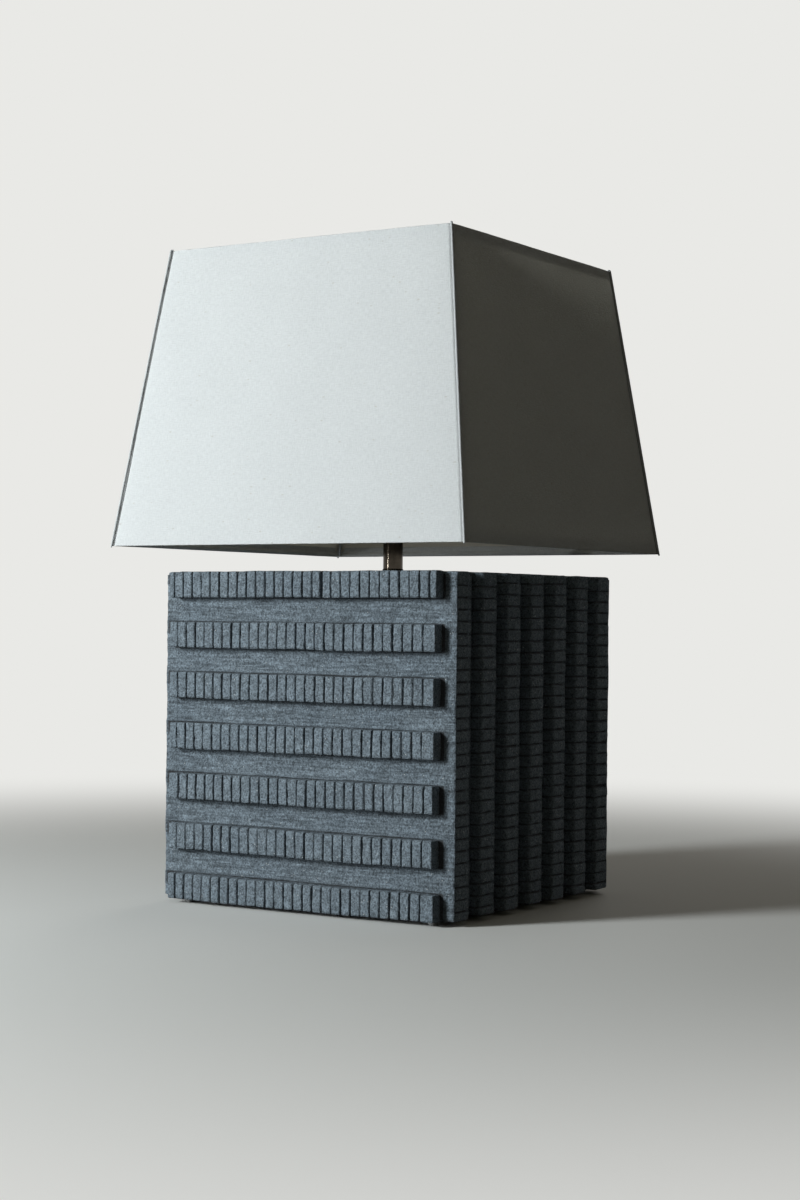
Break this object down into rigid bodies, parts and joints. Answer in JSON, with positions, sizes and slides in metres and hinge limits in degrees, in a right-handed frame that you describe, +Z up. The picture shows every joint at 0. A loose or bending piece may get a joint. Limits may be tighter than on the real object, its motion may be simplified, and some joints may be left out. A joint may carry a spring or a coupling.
{
  "type": "table lamp",
  "caption": "Square stoneware block lamp with raised scored bars, a dark bronze neck, a harp, a switched lampholder, a bulb and a tapered square linen shade.",
  "frame": {"origin": "on the table, under the middle of the block", "axes": "+Z up the neck; -Y out of the front wall, whose bars lie level; +X out of a wall whose bars stand"},
  "size_m": [0.383, 0.383, 0.6204],
  "materials": {
    "stoneware": "unglazed charcoal stoneware with grog, matte and rough",
    "clear_bumper": "clear soft polyurethane",
    "black_rubber": "moulded, matte",
    "plated_steel": "zinc plated",
    "dark_bronze": "dark bronze plating, polished",
    "brass": "brass plated, satin",
    "fibre_board": "pressed fibre",
    "phenolic": "moulded phenolic",
    "black_plastic": "moulded, glossy",
    "bulb_metal": "bright drawn",
    "frosted_glass": "inside frosted",
    "linen": "off-white linen laminated on a stiff backing, plain weave"
  },
  "bodies": {
    "lamp": {"front_wall": "stoneware", "right_wall": "stoneware", "back_wall": "stoneware", "left_wall": "stoneware", "top_slab": "stoneware", "bumper_feet": "clear_bumper", "cord_grommet": "black_rubber", "lamp_pipe": "brass", "cushion_washer": "black_rubber", "slab_washer": "plated_steel", "pipe_nut": "plated_steel", "neck_seat_ring": "dark_bronze", "neck_tube": "dark_bronze", "neck_check_ring": "dark_bronze", "harp_saddle": "brass", "harp": "brass", "harp_stud": "brass", "holder_cap": "brass", "cap_setscrew": "plated_steel", "holder_shell": "brass", "insulating_sleeve": "fibre_board", "switch_body": "phenolic", "terminal_screws": "brass", "screw_shell": "brass", "centre_contact": "brass"},
    "left_ferrule": {"left_ferrule": "brass"},
    "right_ferrule": {"right_ferrule": "brass"},
    "switch": {"switch_stem": "brass", "switch_knob": "black_plastic"},
    "bulb": {"bulb_screw_cap": "bulb_metal", "bulb_insulator": "phenolic", "bulb_tip": "bulb_metal", "bulb_glass": "frosted_glass"},
    "shade": {"shade_fitter": "plated_steel", "upper_wire": "plated_steel", "lower_wire": "plated_steel", "corner_ribs": "plated_steel", "upper_hem": "linen", "lower_hem": "linen", "front_panel": "linen", "right_panel": "linen", "back_panel": "linen", "left_panel": "linen", "corner_seams": "linen"},
    "finial": {"finial": "dark_bronze"}
  },
  "joints": [
    {"name": "shade_turn", "type": "hinge", "parent": "lamp", "child": "shade", "pos_m": [0, 0, 0.5948], "axis": [0, 0, 1], "continuous": true},
    {"name": "finial_turn", "type": "hinge", "parent": "lamp", "child": "finial", "pos_m": [0, 0, 0.5964], "axis": [0, 0, 1], "continuous": true},
    {"name": "bulb_turn", "type": "hinge", "parent": "lamp", "child": "bulb", "pos_m": [0, 0, 0.41], "axis": [0, 0, 1], "continuous": true},
    {"name": "switch_turn", "type": "hinge", "parent": "lamp", "child": "switch", "pos_m": [0, -0.02, 0.3947], "axis": [0, -1, 0], "continuous": true},
    {"name": "left_ferrule_lift", "type": "slide", "parent": "lamp", "child": "left_ferrule", "axis": [0, 0, 1], "range_m": [0, 0.013]},
    {"name": "right_ferrule_lift", "type": "slide", "parent": "lamp", "child": "right_ferrule", "axis": [0, 0, 1], "range_m": [0, 0.013]}
  ]
}
